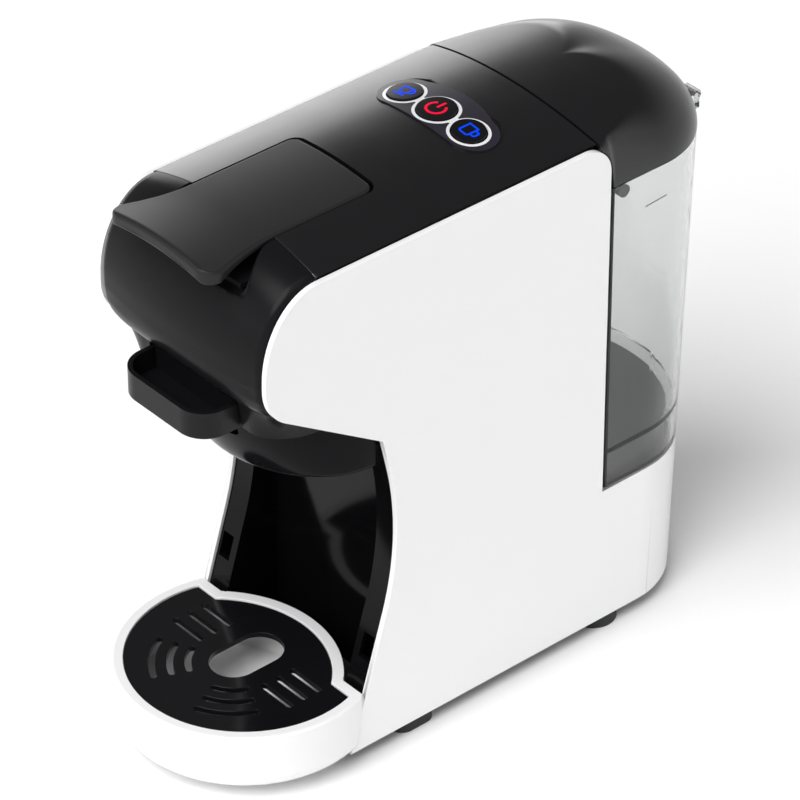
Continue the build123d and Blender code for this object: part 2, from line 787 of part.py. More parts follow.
def tray_plan(offset):
    """Plan of the drip tray moved in by offset: round front, square shoulders, bowed rear."""
    radius = tray_radius - offset
    shoulder_y = foot_y + 7.3 - offset
    shoulder_x = math.sqrt(radius ** 2 - (shoulder_y - tray_y) ** 2)
    bow = tray_rear_radius - offset
    notch = math.sqrt(bow ** 2 - (shoulder_y - tray_rear_centre) ** 2)
    edges = [
        ThreePointArc((-shoulder_x, shoulder_y), (0, tray_y - radius), (shoulder_x, shoulder_y)),
        Line((shoulder_x, shoulder_y), (notch, shoulder_y)),
        ThreePointArc((notch, shoulder_y), (0, tray_rear_centre + bow), (-notch, shoulder_y)),
        Line((-notch, shoulder_y), (-shoulder_x, shoulder_y)),
    ]
    return make_face(edges)


def drip_tray():
    """White drip tray with a ledge for the grid and two hooks for the column slots."""
    tall = tray_top_z - tray_bottom_z
    tray = Pos(0, 0, tray_bottom_z) * extrude(tray_plan(0), tall)
    tray = fillet(tray.edges().group_by(Axis.Z)[0].filter_by(GeomType.CIRCLE).sort_by(Axis.Y)[0], 8)
    low_y = foot_y - 1
    clear = Pos(-slide_gap, 0, 0) * side_outline(20)
    tray -= across(clear, recess_half - slide_gap, half + 9)
    tray -= across(clear, -half - 9, slide_gap - recess_half)
    tray -= block(-half, half, low_y, column_y + 20, 0, foot_height + base_thickness + slide_gap)
    ledge = tray_top_z - grid_thickness - 0.8
    tray -= Pos(0, 0, ledge) * extrude(tray_plan(rim_width), 20)
    floor_z = foot_height + base_thickness + slide_gap + tray_wall
    well = Pos(0, 0, floor_z) * extrude(tray_plan(rim_width + 2), 40)
    well &= block(-half, half, front, tray_rear_y, 0, tray_top_z + 5)
    inner = Pos(-slide_gap - tray_wall, 0, 0) * side_outline(20)
    tray -= well - across(inner, recess_half - 3, half + 9) - across(inner, -half - 9, 3 - recess_half)
    for side in (-1, 1):
        x0, x1 = sorted((side * (hook_x - hook_width / 2), side * (hook_x + hook_width / 2)))
        hook_y = column_low_y - 9.0
        tray += block(x0, x1, hook_y - 9.6, hook_y, hook_z, hook_z + hook_height)
    return tray


def arc_slot(radius, side, width):
    """One curved slot of the grid, on the left (-1) or right (1)."""
    centre_y = tray_y - 6.3
    start, end = (205, 246) if side < 0 else (294, 335)
    angles = [math.radians(start), math.radians((start + end) / 2), math.radians(end)]
    points = [(radius * math.cos(a), centre_y + radius * math.sin(a)) for a in angles]
    spine = ThreePointArc(*points)
    return SlotArc(spine, width)


def drip_grid():
    """Glossy black grid: centre hole, six straight slots and six curved ones."""
    z = tray_top_z - grid_thickness - 0.8
    face = tray_plan(rim_width + gap)
    face -= Pos(0, tray_y, 0) * SlotOverall(36, 22, rotation=90)
    for k in range(3):
        for side in (-1, 1):
            slot = SlotOverall(20, 3.0)
            face -= Pos(side * 30.3, tray_y + 8 - 8 * k, 0) * slot
            face -= arc_slot(20.5 + 7.9 * k, side, 3.0)
    return Pos(0, 0, z) * extrude(face, grid_thickness)


def tank_wall_panel():
    """Upright wall between the works and the tank."""
    y1 = tank_front_y - wall_panel_gap
    high = arch_centre_z + math.sqrt((arch_radius - wall) ** 2 - fit_half ** 2) - 1.7
    panel = block(-fit_half, fit_half, y1 - wall, y1, foot_height + base_thickness, high)
    return panel - Pos(0, y1, hose_z) * Rot(90, 0, 0) * Cylinder(hose_radius + 1, 12)


def tank_seat():
    """Black seat under the tank with the pedestal that its valve plugs into."""
    y0 = tank_front_y - wall_panel_gap
    seat = plan_solid(wall + gap, ledge_z - 5, ledge_z, y0)
    pedestal_y = tank_front_y + tank_gap + tank_wall + 2
    pedestal = plan_solid(tank_wall + 3, ledge_z, ledge_z + seat_height, pedestal_y)
    seat += pedestal
    seat -= upright(0, valve_y, ledge_z - 2, ledge_z + 40, valve_radius + 1)
    return seat


def tank_body():
    """Clear water tank with a raised floor, a skirt and two hinge lugs."""
    y0 = tank_front_y + tank_gap
    tank = plan_solid(0, tank_bottom_z, tank_top_z, y0)
    tank -= plan_solid(tank_wall, tank_floor_z, tank_top_z + 1, y0 + tank_wall)
    tank -= plan_solid(tank_wall, tank_bottom_z - 1, tank_floor_z - 2.5, y0 + tank_wall)
    tank -= upright(0, valve_y, tank_bottom_z - 1, tank_floor_z + 1, valve_radius)
    for side in (-1, 1):
        x0, x1 = sorted((side * lug_x, side * (lug_x + lug_length)))
        lug = crossbar(x0, x1, rear_wall_y, lid_hinge_z, lug_overhang)
        lug += block(x0, x1, rear_wall_y - 1.2, rear_wall_y + 2.0, tank_top_z - 5, lid_hinge_z)
        lug += block(x0, x1, rear_wall_y - 6, rear_wall_y + 2.0, tank_top_z - 5, tank_top_z)
        tank += lug
    return tank - crossbar(-half, half, rear_wall_y, lid_hinge_z, lid_pin_radius)


def tank_valve():
    """Spring valve in the tank floor."""
    collar = upright(0, valve_y, tank_floor_z, tank_floor_z + 4, valve_radius + 3)
    stem = upright(0, valve_y, tank_floor_z - 13, tank_floor_z, valve_radius)
    return collar + stem - upright(0, valve_y, 0, top_z, 2.5)


def lid_hinge_pins():
    """Two short pins through the tank lugs and the lid knuckle."""
    pins = []
    for side in (-1, 1):
        x0, x1 = sorted((side * (lug_x - 6), side * (lug_x + lug_length)))
        pins.append(crossbar(x0, x1, rear_wall_y, lid_hinge_z, lid_pin_radius))
    return Compound(children=pins)


def dome_profile(inset):
    """Side view of the lid (Y, Z): level at the seam, falling to the rear."""
    low = tank_top_z + gap
    level_y = tank_front_y + 18
    back = rear_wall_y + 1 - inset
    top = crown_z - inset
    edges = [
        Line((lid_seam_y - 12 + inset, low - 3), (lid_seam_y - 12 + inset, top)),
        Line((lid_seam_y - 12 + inset, top), (level_y, top)),
        EllipticalCenterArc((level_y, low), back - level_y, top - low, 0, arc_size=90),
        Line((back, low), (back, low - 3)),
        Line((back, low - 3), (lid_seam_y - 12 + inset, low - 3)),
    ]
    return make_face(edges)


def dome(inset):
    """Solid lid shape moved in by inset."""
    low = tank_top_z + gap
    body = plan_solid(inset, tank_top_z - 5, crown_z + 20, lid_seam_y - 20)
    barrel = Pos(0, rear - 40, arch_centre_z) * Rot(90, 0, 0) * Cylinder(arch_radius - inset, 200)
    body &= across(dome_profile(inset), -half, half)
    body &= barrel
    bow_radius = (half ** 2 + lid_seam_bow ** 2) / (2 * lid_seam_bow)
    edge = upright(0, lid_seam_y - lid_seam_bow + bow_radius + inset, 0, crown_z + 30, bow_radius)
    return body & edge & block(-half, half, front, rear + 9, low, crown_z + 9)


def tank_lid():
    """Glossy black dome over the tank, hinged at its rear."""
    lid = dome(0) - (Pos(0, 0, -0.01) * dome(wall))
    lid -= across(Pos(slide_gap, slide_gap) * side_outline(), -half, half)
    clear_y = tank_front_y + tank_gap
    lid -= block(-half, half, lid_seam_y - 9, clear_y, 0, tank_top_z + 6)
    notch = rear_wall_y - lug_overhang - 1.2
    for side in (-1, 1):
        x0, x1 = sorted((side * (lug_x - 0.4), side * (lug_x + lug_length + 0.4)))
        lid -= block(x0, x1, notch, rear + 2, tank_top_z - 5, lid_hinge_z + lug_overhang + 1.2)
    knuckle_radius = lid_hinge_z - tank_top_z - 0.15
    knuckle = crossbar(-lug_x + 0.4, lug_x - 0.4, rear_wall_y, lid_hinge_z, knuckle_radius)
    y0 = rear_wall_y - 4
    knuckle += block(-lug_x + 0.4, lug_x - 0.4, y0, rear_wall_y, lid_hinge_z - 1, lid_hinge_z + 2.6)
    lid += knuckle & block(-half, half, front, rear, tank_top_z + gap, crown_z)
    return lid - crossbar(-half, half, rear_wall_y, lid_hinge_z, lid_pin_radius + pin_gap)


def snap_lug(side):
    """Round lug that snaps the front of the lid to the tank wall."""
    x0, x1 = sorted((side * (half - tank_wall - 3.2), side * (half - tank_wall - 0.2)))
    return crossbar(x0, x1, tank_front_y + 9, tank_top_z - 5, 3.0)


def water_pump():
    """Vibration pump on the floor: coil block, tube and outlet."""
    low = foot_height + base_thickness + 6
    pump = block(-18, 18, pump_y, pump_y + pump_length, low, 2 * hose_z - low)
    return pump + Pos(0, pump_y + pump_length / 2, hose_z) * Rot(90, 0, 0) * Cylinder(9, pump_length + 26)


def pump_mounts():
    """Two rubber blocks that carry the pump."""
    base = foot_height + base_thickness
    blocks = [block(-16, 16, pump_y + y, pump_y + y + 8, base, base + 6) for y in (2, 24)]
    return Compound(children=blocks)


def thermoblock():
    """Aluminium heater block with its inlet and outlet stubs."""
    low = block_low_z
    high = low + 62
    blk = block(-32, 32, block_port_y - 13, block_port_y + 13, low, high)
    blk += upright(-block_port_x, block_port_y, high, high + block_stub, 4)
    blk += upright(block_port_x, block_port_y, low - block_stub, low, 4)
    return fillet(blk.edges().filter_by(Axis.Z).filter_by(lambda e: e.length > 60), 4)


def thermoblock_bracket():
    """Sheet bracket from the tank wall to the heater block."""
    y1 = tank_front_y - wall_panel_gap - wall
    return block(-20, 20, block_port_y + 13, y1, block_low_z + 10, block_low_z + 13)


def main_board():
    """Power board on the left, on its own edge."""
    x = board_x
    y0 = board_y
    board = block(x - 1.6, x, y0, y0 + 60, 24, 96)
    board += block(x, x + 14, y0 + 8, y0 + 24, 60, 86)
    board += block(x, x + 9, y0 + 34, y0 + 50, 34, 52)
    return board


def board_clips():
    """Two rails that hold the power board to the left shell."""
    rails = []
    for z in (21, 96):
        rails.append(block(-inner_half, board_x + 2, board_y + 10, board_y + 50, z, z + 3))
    return Compound(children=rails)


def hose(points):
    """A hose along straight runs with round bends."""
    path = FilletPolyline(*points, radius=3 * hose_radius)
    start = Plane(origin=path @ 0, z_dir=path % 0)
    return sweep(start * Circle(hose_radius), path=path)


def suction_hose():
    """Hose from under the tank seat, through the wall panel, to the pump."""
    start_y = pump_y + pump_length + 13
    return hose([(0, start_y, hose_z), (0, valve_y, hose_z), (0, valve_y, ledge_z - 5)])


def pressure_hose():
    """Hose from the pump up to the heater block."""
    y0 = pump_y - 13
    x = block_port_x
    low = block_low_z - block_stub
    turn = [(x, y0 - 10, hose_z), (x, block_port_y, hose_z + 24)]
    return hose([(0, y0, hose_z), (0, y0 - 10, hose_z), *turn, (x, block_port_y, low)])


def cord_gland():
    """Grommet in the rear of the shells where the mains cord would enter."""
    z = gland_z
    y = plan_rear(z)
    outer = Pos(0, y + 1.8, z) * Rot(90, 0, 0) * Cylinder(gland_radius + 1.5, 3)
    neck = Pos(0, y - 2, z) * Rot(90, 0, 0) * Cylinder(gland_radius - 0.1, 8)
    return outer + neck - Pos(0, y, z) * Rot(90, 0, 0) * Cylinder(gland_radius - 1.8, 40)


def plan_rear(z):
    """Y of the rear face at height z."""
    return rear_wall_y + rear_lean * (z - top_z + 14) / lean_height


def with_gland_hole(shell):
    """A shell with the hole for the cord gland."""
    return shell - Pos(0, plan_rear(gland_z), gland_z) * Rot(90, 0, 0) * Cylinder(gland_radius, 30)


nodes = {
    "right_shell": with_gland_hole(right_shell()),
    "left_shell": with_gland_hole(left_shell()),
    "base_plate": base_plate(),
    "base_screws": base_screws(),
    "front_foot_left": front_foot(-1),
    "front_foot_right": front_foot(1),
    "rear_foot_left": rear_foot(-1),
    "rear_foot_right": rear_foot(1),
    "column_panel": column_panel(),
    "soffit_plate": soffit(),
    "top_panel": top_panel(),
    "head_cover": head_cover(),
    "lever_well": lever_well(),
    "control_label": control_label(),
    "button_bezel": button_bezel(),
    "espresso_button": button(0),
    "power_button": button(1),
    "mug_button": button(2),
    "button_board": button_board(),
    "button_board_posts": button_board_posts(),
    "lever": lever(),
    "lever_pin": lever_pin(),
    "crank_pins": crank_pins(),
    "lift_link_left": link(-1),
    "lift_link_right": link(1),
    "brew_carriage": brew_carriage(),
    "carriage_pins": carriage_pins(),
    "brew_head": brew_head(),
    "brew_gasket": brew_gasket(),
    "needle_plate": needle_plate(),
    "brew_frame": brew_frame(),
    "guide_post_left": guide_post(-1),
    "guide_post_right": guide_post(1),
    "pod_rail_left": pod_rail(-1),
    "pod_rail_right": pod_rail(1),
    "pod_holder": pod_holder(),
    "nozzle_skirt": nozzle_skirt(),
    "outlet_nozzle": outlet_nozzle(),
    "drip_tray": drip_tray(),
    "drip_grid": drip_grid(),
    "tank_wall_panel": tank_wall_panel(),
    "tank_seat": tank_seat(),
    "tank_body": tank_body(),
    "tank_valve": tank_valve(),
    "tank_lid": tank_lid(),
    "lid_hinge_pins": lid_hinge_pins(),
    "snap_lug_left": snap_lug(-1),
    "snap_lug_right": snap_lug(1),
    "water_pump": water_pump(),
    "pump_mounts": pump_mounts(),
    "thermoblock": thermoblock(),
    "thermoblock_bracket": thermoblock_bracket(),
    "main_board": main_board(),
    "board_clips": board_clips(),
    "suction_hose": suction_hose(),
    "pressure_hose": pressure_hose(),
    "cord_gland": cord_gland(),
}

os.makedirs("parts", exist_ok=True)
for name, solid in nodes.items():
    export_step(solid, f"parts/{name}.step")
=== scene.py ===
import json
import math
import bmesh
import bpy
import numpy as np
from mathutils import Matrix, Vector

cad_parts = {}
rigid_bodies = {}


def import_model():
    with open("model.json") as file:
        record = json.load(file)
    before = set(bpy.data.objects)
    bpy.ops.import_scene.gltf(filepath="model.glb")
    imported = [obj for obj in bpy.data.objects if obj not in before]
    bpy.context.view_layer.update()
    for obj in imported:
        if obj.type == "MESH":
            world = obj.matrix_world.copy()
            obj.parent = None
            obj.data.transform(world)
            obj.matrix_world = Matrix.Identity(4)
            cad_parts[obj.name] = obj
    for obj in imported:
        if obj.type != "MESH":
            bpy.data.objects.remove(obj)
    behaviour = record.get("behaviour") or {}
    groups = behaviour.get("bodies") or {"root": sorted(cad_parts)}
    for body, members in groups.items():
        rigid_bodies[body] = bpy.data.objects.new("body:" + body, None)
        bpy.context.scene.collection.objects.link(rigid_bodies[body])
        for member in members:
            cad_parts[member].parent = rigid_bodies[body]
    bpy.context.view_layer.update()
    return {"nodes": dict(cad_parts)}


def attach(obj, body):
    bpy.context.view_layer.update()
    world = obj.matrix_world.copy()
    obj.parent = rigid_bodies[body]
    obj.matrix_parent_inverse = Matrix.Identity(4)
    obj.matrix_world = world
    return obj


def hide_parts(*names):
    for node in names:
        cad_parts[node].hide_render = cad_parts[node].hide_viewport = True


for leftover in list(bpy.data.objects):
    bpy.data.objects.remove(leftover)
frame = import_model()
node = frame["nodes"]

# Floor plate, its screws and the feet.
# The plate is a black moulding closed with four steel screws; the feet are
# rubber pads pushed into it from below.


def grain_group():
    """Moulded or cast skin: cloudy tint, patchy gloss and a fine grain, on Object coordinates."""
    group = bpy.data.node_groups.new("surface grain", "ShaderNodeTree")
    made = group.interface.new_socket
    made("Colour", in_out="INPUT", socket_type="NodeSocketColor")
    for name, start in (("Tint", 0.1), ("Gloss", 0.3), ("Patch", 0.05), ("Grain size", 900.0),
                        ("Grain", 0.02)):
        made(name, in_out="INPUT", socket_type="NodeSocketFloat").default_value = start
    made("Colour", in_out="OUTPUT", socket_type="NodeSocketColor")
    made("Roughness", in_out="OUTPUT", socket_type="NodeSocketFloat")
    made("Normal", in_out="OUTPUT", socket_type="NodeSocketVector")
    new, link = group.nodes.new, group.links.new
    given, out = new("NodeGroupInput"), new("NodeGroupOutput")
    place = new("ShaderNodeTexCoord").outputs["Object"]

    def noise(scale, detail):
        cloud = new("ShaderNodeTexNoise")
        cloud.inputs["Scale"].default_value = scale
        cloud.inputs["Detail"].default_value = detail
        link(place, cloud.inputs["Vector"])
        return cloud

    def sum_of(a, b, c):
        step = new("ShaderNodeMath")
        step.operation = "MULTIPLY_ADD"
        for socket, value in zip(step.inputs, (a, b, c)):
            if isinstance(value, (int, float)):
                socket.default_value = value
            else:
                link(value, socket)
        return step.outputs[0]

    large, patchy, fine = noise(14.0, 3.0), noise(60.0, 4.0), noise(900.0, 2.0)
    link(given.outputs["Grain size"], fine.inputs["Scale"])
    lift = sum_of(sum_of(large.outputs["Fac"], 2.0, -1.0), given.outputs["Tint"], 1.0)
    shade = new("ShaderNodeVectorMath")
    shade.operation = "SCALE"
    link(given.outputs["Colour"], shade.inputs[0])
    link(lift, shade.inputs["Scale"])
    link(shade.outputs[0], out.inputs["Colour"])
    link(sum_of(sum_of(patchy.outputs["Fac"], 2.0, -1.0), given.outputs["Patch"], given.outputs["Gloss"]),
         out.inputs["Roughness"])
    bump = new("ShaderNodeBump")
    bump.inputs["Distance"].default_value = 0.0002
    link(given.outputs["Grain"], bump.inputs["Strength"])
    link(fine.outputs["Fac"], bump.inputs["Height"])
    link(bump.outputs["Normal"], out.inputs["Normal"])
    return group


surface_grain = grain_group()


def finish(name, colour, gloss, tint=0.08, patch=0.04, size=900.0, grain=0.02, **fixed):
    """The material of that slot, with grain; fixed values go on the shader's own sockets."""
    material = bpy.data.materials.get(name) or bpy.data.materials.new(name)
    material.use_nodes = True
    tree = material.node_tree
    tree.nodes.clear()
    skin = tree.nodes.new("ShaderNodeGroup")
    skin.node_tree = surface_grain
    for socket, value in (("Colour", (*colour, 1)), ("Tint", tint), ("Gloss", gloss), ("Patch", patch),
                          ("Grain size", size), ("Grain", grain)):
        skin.inputs[socket].default_value = value
    shader = tree.nodes.new("ShaderNodeBsdfPrincipled")
    for socket, value in (("Colour", "Base Color"), ("Roughness", "Roughness"), ("Normal", "Normal")):
        tree.links.new(skin.outputs[socket], shader.inputs[value])
    for socket, value in fixed.items():
        shader.inputs[socket.replace("_", " ")].default_value = value
    end = tree.nodes.new("ShaderNodeOutputMaterial")
    tree.links.new(shader.outputs[0], end.inputs["Surface"])
    return material


finish("base_plate", (0.035, 0.035, 0.038), 0.5, grain=0.12)
finish("base_screws", (0.6, 0.6, 0.61), 0.3, Metallic=1.0)
for foot in ("front_foot_left", "front_foot_right", "rear_foot_left", "rear_foot_right"):
    finish(foot, (0.022, 0.022, 0.022), 0.75, grain=0.2, size=1500.0)

# Pump, hoses, heater, board and cord gland.
# The works sit between the shells: a plated pump on rubber blocks, a cast
# heater on a steel bracket, a green board in clips, and silicone hoses.
finish("water_pump", (0.3, 0.3, 0.32), 0.35, Metallic=1.0)
finish("pump_mounts", (0.025, 0.025, 0.025), 0.8, grain=0.2)
finish("thermoblock", (0.7, 0.7, 0.72), 0.5, grain=0.4, size=600.0, Metallic=1.0)
finish("thermoblock_bracket", (0.6, 0.6, 0.61), 0.35, Metallic=1.0)
for board in ("main_board", "button_board"):
    finish(board, (0.03, 0.16, 0.07), 0.35, tint=0.25)
for moulding in ("board_clips", "button_board_posts", "pod_rail_left", "pod_rail_right", "tank_valve"):
    finish(moulding, (0.035, 0.035, 0.04), 0.45, grain=0.08)
for hose in ("suction_hose", "pressure_hose"):
    finish(hose, (0.75, 0.75, 0.74), 0.3, Subsurface_Weight=0.3)
finish("cord_gland", (0.025, 0.025, 0.025), 0.6, grain=0.15)

# Side shells.
# Two glossy white mouldings that meet on the middle plane; their outer
# edges are rounded all the way round the side outline.
for slot in ("right_shell", "left_shell"):
    finish(slot, (0.9, 0.9, 0.9), 0.22, tint=0.01, patch=0.03, grain=0.006, Specular_IOR_Level=0.5)
outer_edge_x = 54.8      # edges further out than this lie on a shell's flat side


def placed(name, data):
    """A new object with that mesh, lamp or camera, in the scene."""
    thing = bpy.data.objects.new(name, data)
    bpy.context.scene.collection.objects.link(thing)
    return thing


def softened(source, name, rounding, picks, segments=3, sharp=28.0):
    """A copy of a CAD node with its doubles merged and its picked sharp edges rounded."""
    mesh = node[source].data.copy()
    for attribute in [a.name for a in mesh.attributes if a.name == "custom_normal"]:
        mesh.attributes.remove(mesh.attributes[attribute])
    build = bmesh.new()
    build.from_mesh(mesh)
    bmesh.ops.remove_doubles(build, verts=build.verts, dist=1e-6)
    bmesh.ops.dissolve_limit(build, angle_limit=math.radians(0.4), verts=build.verts, edges=build.edges)
    weight = build.edges.layers.float.new("bevel_weight_edge")
    for face in build.faces:
        face.smooth = True
    for edge in build.edges:
        if len(edge.link_faces) == 2 and edge.calc_face_angle(0.0) > math.radians(sharp):
            edge[weight] = picks(edge.verts[0].co * 1000, edge.verts[1].co * 1000)
            edge.smooth = edge[weight] > 0
    build.to_mesh(mesh)
    build.free()
    piece = placed(name, mesh)
    bevel = piece.modifiers.new("rounding", "BEVEL")
    bevel.limit_method, bevel.width, bevel.segments = "WEIGHT", rounding, segments
    bevel.use_clamp_overlap, bevel.harden_normals = True, False
    shading = piece.modifiers.new("shading", "WEIGHTED_NORMAL")
    shading.keep_sharp = True
    return plain_mesh(piece)


def plain_mesh(piece):
    """Turns what the modifiers make into the piece's own mesh."""
    bpy.context.view_layer.update()
    graph = bpy.context.evaluated_depsgraph_get()
    mesh = bpy.data.meshes.new_from_object(piece.evaluated_get(graph), preserve_all_data_layers=True,
                                           depsgraph=graph)
    piece.modifiers.clear()
    piece.data = mesh
    return piece


def hand_over(piece, body, slot, *nodes):
    """The piece rides on its body, stands for those nodes and takes its finish from that slot."""
    if not piece.data.materials:
        piece.data.materials.append(bpy.data.materials[slot])
    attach(piece, body)
    if nodes:
        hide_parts(*nodes)
    return piece


for side in ("left", "right"):
    shell = softened(side + "_shell", "side_shell_" + side, 0.0014,
                     lambda a, b: float(min(abs(a.x), abs(b.x)) > outer_edge_x), segments=4)
    hand_over(shell, "base", side + "_shell", side + "_shell")

# Column front, soffit, rear panel and tank seat.
# Glossy black polymer mouldings that close the space between the shells: the
# recess behind the cup, its roof, the wall before the tank and the tank's seat.
glossy_black = dict(colour=(0.006, 0.006, 0.007), gloss=0.1, tint=0.05, patch=0.03, grain=0.004,
                    Specular_IOR_Level=0.35)
# The column panel and soffit get a darker colour and weaker reflection than the other glossy black parts:
# painted shade for the recess behind the cup and under its roof.
recess_painted_shade_black = dict(glossy_black, colour=(0.003, 0.003, 0.0035), Specular_IOR_Level=0.12)
finish("column_panel", **recess_painted_shade_black)
finish("soffit_plate", **recess_painted_shade_black)
finish("tank_wall_panel", (0.02, 0.02, 0.022), 0.25, grain=0.01)
finish("tank_seat", (0.02, 0.02, 0.022), 0.3, grain=0.01)

# Head cover.
# One glossy black moulding over the brew head: it runs from the seam over
# the nose down to the chin, with a finger pocket under the lever's lip.
satin_black = dict(colour=(0.008, 0.008, 0.009), gloss=0.25, tint=0.08, patch=0.04, grain=0.008,
                   Specular_IOR_Level=0.3)
finish("head_cover", **dict(satin_black, Specular_IOR_Level=0.09))
arch_centre, arch_radius = 109.0, 160.0
cover_half, cover_bow, cover_wall = 52.2, 305.0, 2.4
brow_centre, brow_semi = (-91.4, 223.0), (33.3, 46.0)
nose_low, chin, cover_foot = (-124.7, 217.0), (-114.4, 200.0), (-111.8, 183.2)


def arch_height(x, radius=arch_radius):
    """Height of the crowned top above a point at that x."""
    return arch_centre + np.sqrt(radius ** 2 - np.asarray(x, float) ** 2)


def shell_front(z):
    """How far forward the white side's edge reaches below the nose, at that height."""
    return np.interp(z, [180, 190, 200, 205, 210, 217], [-81.6, -97.0, -112.2, -116.5, -119.0, -120.2])


def cover_side_view():
    """Side view of the cover at its middle, every 0.9 mm or so, from the seam to its foot."""
    points = []
    for step in range(71):
        turn = math.pi / 2 * step / 70
        points.append((brow_centre[0] - brow_semi[0] * math.sin(turn),
                       brow_centre[1] + brow_semi[1] * math.cos(turn)))
    for step in range(1, 7):
        points.append((nose_low[0], brow_centre[1] + (nose_low[1] - brow_centre[1]) * step / 6))
    bend = (-124.7, 207.0), (-119.6, 201.6)
    for step in range(1, 25):
        t = step / 24
        blend = [(1 - t) ** 3, 3 * t * (1 - t) ** 2, 3 * t * t * (1 - t), t ** 3]
        corners = [nose_low, bend[0], bend[1], chin]
        points.append(tuple(sum(b * c[axis] for b, c in zip(blend, corners)) for axis in (0, 1)))
    for step in range(1, 19):
        t = step / 18
        points.append((chin[0] + (cover_foot[0] - chin[0]) * t, chin[1] + (cover_foot[1] - chin[1]) * t))
    return np.array(points)


def patch_object(name, rows, wall, core, sharp=35.0):
    """A sheet through rows of points (mm) that faces away from the core and has its wall inside."""
    rows = np.asarray(rows, float) / 1000
    count, across = rows.shape[:2]
    faces = []
    for i in range(count - 1):
        for j in range(across - 1):
            k = j + 1
            faces.append((i * across + j, i * across + k, (i + 1) * across + k, (i + 1) * across + j))
    mesh = bpy.data.meshes.new(name)
    mesh.from_pydata(rows.reshape(-1, 3).tolist(), [], faces)
    piece = placed(name, mesh)
    build = bmesh.new()
    build.from_mesh(mesh)
    bmesh.ops.remove_doubles(build, verts=build.verts, dist=2e-5)
    middle = Vector(core) / 1000
    if sum(f.calc_area() * f.normal.dot(f.calc_center_median() - middle) for f in build.faces) < 0:
        bmesh.ops.reverse_faces(build, faces=build.faces)
    build.to_mesh(mesh)
    build.free()
    if wall:
        skin = piece.modifiers.new("wall", "SOLIDIFY")
        skin.thickness, skin.offset = wall / 1000, -1
        plain_mesh(piece)
    shade(piece, sharp)
    return piece


def shade(piece, sharp=35.0):
    """Smooth shading with a crease wherever the surface turns by more than that angle."""
    piece.data.shade_smooth()
    piece.data.set_sharp_from_angle(angle=math.radians(sharp))
    return piece


def cut(piece, *tools):
    """Takes the closed tools away from the piece and removes them."""
    for tool in tools:
        knife = piece.modifiers.new("cut", "BOOLEAN")
        knife.operation, knife.object, knife.solver = "DIFFERENCE", tool, "EXACT"
    plain_mesh(piece)
    for tool in tools:
        bpy.data.objects.remove(tool)
    return piece


def prism(name, outline, axis, low, high, low_outline=None):
    """A solid between two places along the axis (mm), with that outline, or another at its low end."""
    order = {"x": (2, 0, 1), "y": (0, 2, 1), "z": (0, 1, 2)}[axis]
    mesh, build = bpy.data.meshes.new(name), bmesh.new()
    ends = []
    for place, shape in ((low, low_outline or outline), (high, outline)):
        ends.append([build.verts.new(Vector([(*p, place)[k] / 1000 for k in order])) for p in shape])
    build.faces.new(ends[0])
    build.faces.new(ends[1])
    for k in range(len(outline)):
        build.faces.new((ends[0][k], ends[0][k - 1], ends[1][k - 1], ends[1][k]))
    bmesh.ops.recalc_face_normals(build, faces=build.faces)
    build.to_mesh(mesh)
    build.free()
    piece = placed(name, mesh)
    return piece


def rounded(x0, y0, x1, y1, radii, steps=8):
    """Rectangle outline with rounded corners, radii from the low corner turning left."""
    corners = ((x0, y0, 1, 1, 180), (x1, y0, -1, 1, 270), (x1, y1, -1, -1, 0), (x0, y1, 1, -1, 90))
    outline = []
    for (x, y, sx, sy, start), r in zip(corners, radii):
        for step in range(steps + 1):
            turn = math.radians(start + 90 * step / steps)
            outline.append((x + sx * r + r * math.cos(turn), y + sy * r + r * math.sin(turn)))
    return outline


side_view = cover_side_view()
along = np.gradient(side_view, axis=0)
along /= np.linalg.norm(along, axis=1)[:, None]
outward = np.stack([along[:, 1], -along[:, 0]], 1)          # (y, z), forward and up
columns = np.unique(np.concatenate([np.linspace(-cover_half, cover_half, 141),
                                    np.linspace(24, 38, 24), -np.linspace(24, 38, 24),
                                    np.linspace(48.4, cover_half, 12), -np.linspace(48.4, cover_half, 12)]))
rows = []
for (y, z), (ahead, up) in zip(side_view, outward):
    bow = (cover_bow - np.sqrt(cover_bow ** 2 - columns ** 2))
    fall = arch_radius - np.sqrt(arch_radius ** 2 - columns ** 2)
    forward, upward = max(-ahead, 0.0), max(up, 0.0)
    if z < nose_low[1]:
        lower = min((nose_low[1] - z) / 20.0, 1.0)
        lower = lower * lower * (3 - 2 * lower)
        edge = max(y + 4.5, float(shell_front(z)) + 0.9 * lower)
        share_bow = bow / bow[0]
        corner = np.clip((np.abs(columns) - 33.5) / (cover_half - 33.5), 0, 1)
        share_corner = 1 - np.sqrt(1 - corner ** 2 * 0.995)
        share_corner /= share_corner[0]
        ys = y + (edge - y) * (share_bow * (1 - lower) + share_corner * lower)
        zs = np.full_like(columns, z)
    else:
        ys, zs = y + bow * forward, z - fall * upward
    rim = np.clip((np.abs(columns) - 48.4) / (cover_half - 48.4), 0, 1)
    dip = (2.0 + 1.2 * forward if z >= nose_low[1] else 3.2) * (1 - np.sqrt(1 - rim ** 2 * 0.998))
    ys, zs = ys - dip * ahead, zs - dip * up * (up > 0)
    half_width = 26.9 if y > -97 else 26.9 + 8.0 * min((-97 - y) / 21.0, 1.0) ** 1.3
    blend = 0.5 if y > -99 else 0.5 + 4.5 * min((-99 - y) / 18.0, 1.0)
    inside = np.clip((half_width + blend / 2 - np.abs(columns)) / blend, 0, 1)
    inside = inside * inside * (3 - 2 * inside)
    bottom = 249.0 if y > -110.5 else 251.5
    zs = np.where(zs > bottom, zs - (zs - bottom) * inside, zs)
    rows.append(np.stack([columns, ys, zs], 1))
cover = patch_object("head_cover_skin", rows, cover_wall, (0, -60, 190), sharp=42.0)
mouth = prism("mouth", rounded(-29.2, 170, 29.2, 200, (0.1, 0.1, 4, 4)), "y", -140, -95)
cut(cover, mouth)
shade(cover, 42.0)
hand_over(cover, "base", "head_cover", "head_cover")

